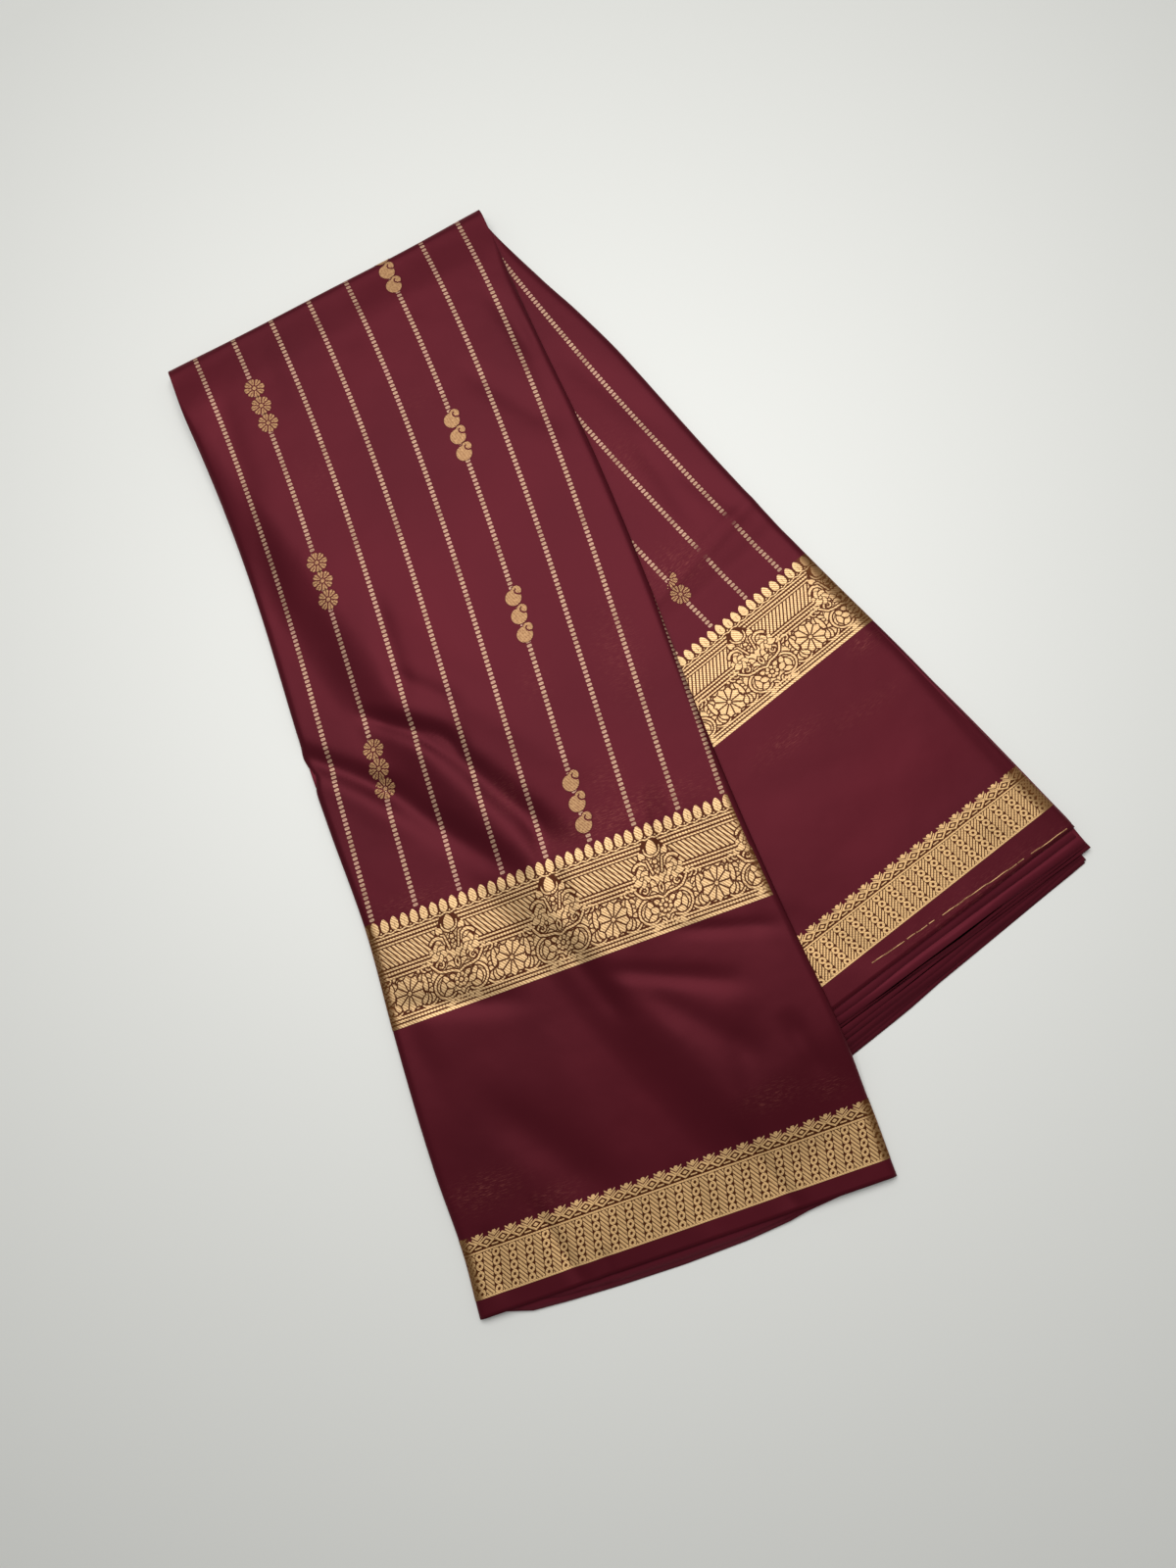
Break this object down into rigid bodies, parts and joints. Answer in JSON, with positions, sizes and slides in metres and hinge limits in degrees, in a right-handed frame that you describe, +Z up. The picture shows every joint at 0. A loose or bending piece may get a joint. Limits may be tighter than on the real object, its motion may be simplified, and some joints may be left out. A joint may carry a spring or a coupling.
{
  "type": "saree",
  "caption": "Silk saree folded into a long strip, folded once across and laid flat with its two hem ends fanned apart.",
  "frame": {"origin": "on the surface the saree lies on, under the middle of its outline", "axes": "+Z up, +Y towards the cross fold, +X towards the rear leg's hem"},
  "size_m": [0.5416, 0.6462, 0.0123],
  "materials": {
    "cover_satin": "maroon silk satin with gold zari stripes and borders",
    "layer_satin": "maroon silk satin, plain"
  },
  "bodies": {
    "root": {"front_cover": "cover_satin", "front_layers": "layer_satin", "rear_cover": "cover_satin", "rear_layers": "layer_satin"}
  },
  "joints": []
}
